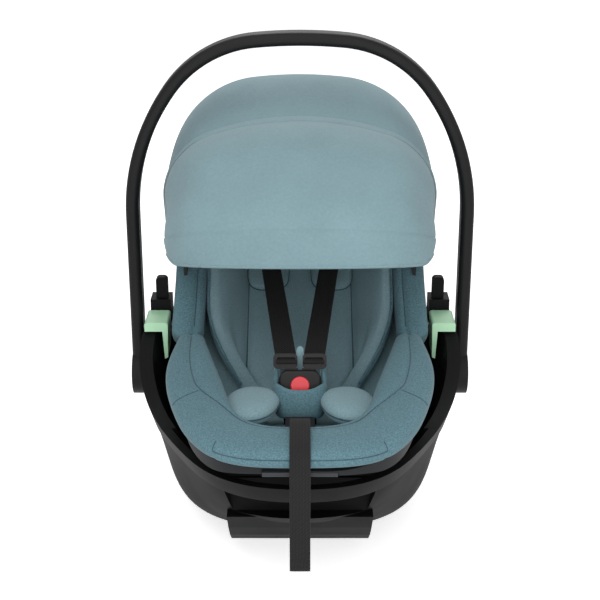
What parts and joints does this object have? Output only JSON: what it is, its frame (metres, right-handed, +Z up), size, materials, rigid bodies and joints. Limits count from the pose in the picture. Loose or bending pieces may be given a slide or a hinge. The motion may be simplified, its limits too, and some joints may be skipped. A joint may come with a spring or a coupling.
{
  "type": "infant car seat",
  "caption": "Rear-facing infant car seat: padded bucket tilting in a carrier shell, with harness, folding canopy and a swing-over carry handle.",
  "frame": {"origin": "on the floor, in the foot's flat underside, in the middle plane", "axes": "+Z up, +Y towards the head end, -Y towards the feet, X across"},
  "size_m": [0.4326, 0.6575, 0.5759],
  "materials": {
    "shell_black": "fine moulded texture",
    "band_black": "fine moulded texture",
    "handle_black": "satin soft-touch",
    "grey_plastic": "fine moulded texture",
    "lever_grey": "satin",
    "green_plastic": "satin",
    "red_plastic": "gloss",
    "buckle_black": "semi-gloss",
    "steel": "zinc plated",
    "foam": "expanded bead foam",
    "cover_dark": "melange knit",
    "cover_light": "fine knit",
    "canopy_fabric": "smooth weave",
    "webbing": "woven polyester webbing"
  },
  "bodies": {
    "carrier": {"carrier_shell": "shell_black", "rocker_foot": "shell_black", "foot_screws": "steel", "latch_bars": "steel", "front_band": "band_black", "side_arm_left": "band_black", "side_arm_right": "band_black", "shoulder_belt_guide": "green_plastic", "belt_guide_left": "green_plastic", "belt_guide_right": "green_plastic", "belt_hook_left": "band_black", "belt_hook_right": "band_black", "tilt_pin_left": "steel", "tilt_pin_right": "steel", "handle_pin_left": "steel", "handle_pin_right": "steel"},
    "seat": {"seat_bucket": "grey_plastic", "foam_liner": "foam", "inner_cover": "cover_light", "rim_cover": "cover_dark", "head_surround": "cover_dark", "buckle_body": "buckle_black", "buckle_spring": "steel", "tongue_left": "buckle_black", "tongue_right": "buckle_black", "crotch_strap": "webbing", "crotch_anchor": "steel", "crotch_pad": "cover_dark", "thigh_cushion_left": "cover_light", "thigh_cushion_right": "cover_light", "shoulder_strap_left": "webbing", "shoulder_strap_right": "webbing", "rear_straps": "webbing", "harness_yoke": "steel", "adjuster_web": "webbing", "adjuster_body": "buckle_black", "adjuster_strap": "webbing", "canopy_rear_panel": "canopy_fabric", "canopy_bracket_left": "grey_plastic", "canopy_bracket_right": "grey_plastic"},
    "handle": {"handle_bar": "handle_black", "handle_liner": "handle_black", "button_spring_left": "steel", "button_spring_right": "steel"},
    "headrest": {"headrest_pad": "cover_light", "headrest_shell": "grey_plastic", "shoulder_pad_left": "cover_light", "shoulder_pad_right": "cover_light"},
    "canopy_mid": {"canopy_mid_bow": "grey_plastic"},
    "canopy_front": {"canopy_front_bow": "grey_plastic", "canopy_front_panel": "canopy_fabric"},
    "adjuster_button": {"adjuster_button": "lever_grey"},
    "buckle_button": {"buckle_button": "red_plastic"},
    "handle_button_left": {"handle_button_left": "handle_black"},
    "handle_button_right": {"handle_button_right": "handle_black"},
    "recline_lever": {"recline_lever": "lever_grey"}
  },
  "joints": [
    {"name": "seat_recline", "type": "hinge", "parent": "carrier", "child": "seat", "pos_m": [0, 0.075, 0.197], "axis": [-1, 0, 0], "range_deg": [0, 12]},
    {"name": "handle_swing", "type": "hinge", "parent": "carrier", "child": "handle", "pos_m": [0, 0.055, 0.139], "axis": [-1, 0, 0], "range_deg": [0, 105]},
    {"name": "handle_button_left_press", "type": "slide", "parent": "handle", "child": "handle_button_left", "axis": [1, 0, 0], "range_m": [0, 0.004], "stiffness_N_per_m": 800, "deforming": ["button_spring_left"]},
    {"name": "handle_button_right_press", "type": "slide", "parent": "handle", "child": "handle_button_right", "axis": [-1, 0, 0], "range_m": [0, 0.004], "stiffness_N_per_m": 800, "deforming": ["button_spring_right"]},
    {"name": "recline_lever_pull", "type": "slide", "parent": "seat", "child": "recline_lever", "axis": [0, -1, 0], "range_m": [0, 0.008], "stiffness_N_per_m": 600},
    {"name": "headrest_slide", "type": "slide", "parent": "seat", "child": "headrest", "axis": [0, 0.8387, 0.5446], "range_m": [0, 0.045], "deforming": ["shoulder_strap_left", "shoulder_strap_right"]},
    {"name": "buckle_button_press", "type": "slide", "parent": "seat", "child": "buckle_button", "axis": [0, 0.9397, -0.342], "range_m": [0, 0.003], "stiffness_N_per_m": 3000, "deforming": ["buckle_spring"]},
    {"name": "adjuster_button_press", "type": "slide", "parent": "seat", "child": "adjuster_button", "axis": [0, 0, -1], "range_m": [0, 0.002], "stiffness_N_per_m": 1500},
    {"name": "canopy_fold", "type": "hinge", "parent": "seat", "child": "canopy_mid", "pos_m": [0, 0.075, 0.29], "axis": [-1, 0, 0], "range_deg": [0, 46], "deforming": ["canopy_rear_panel"]},
    {"name": "canopy_front_fold", "type": "hinge", "parent": "canopy_mid", "child": "canopy_front", "pos_m": [0, 0.075, 0.29], "axis": [-1, 0, 0], "range_deg": [0, 62], "deforming": ["canopy_front_panel"]}
  ],
  "couplings": [
    {"joint": "canopy_front_fold", "follows": "canopy_fold", "ratio": 1.3}
  ]
}
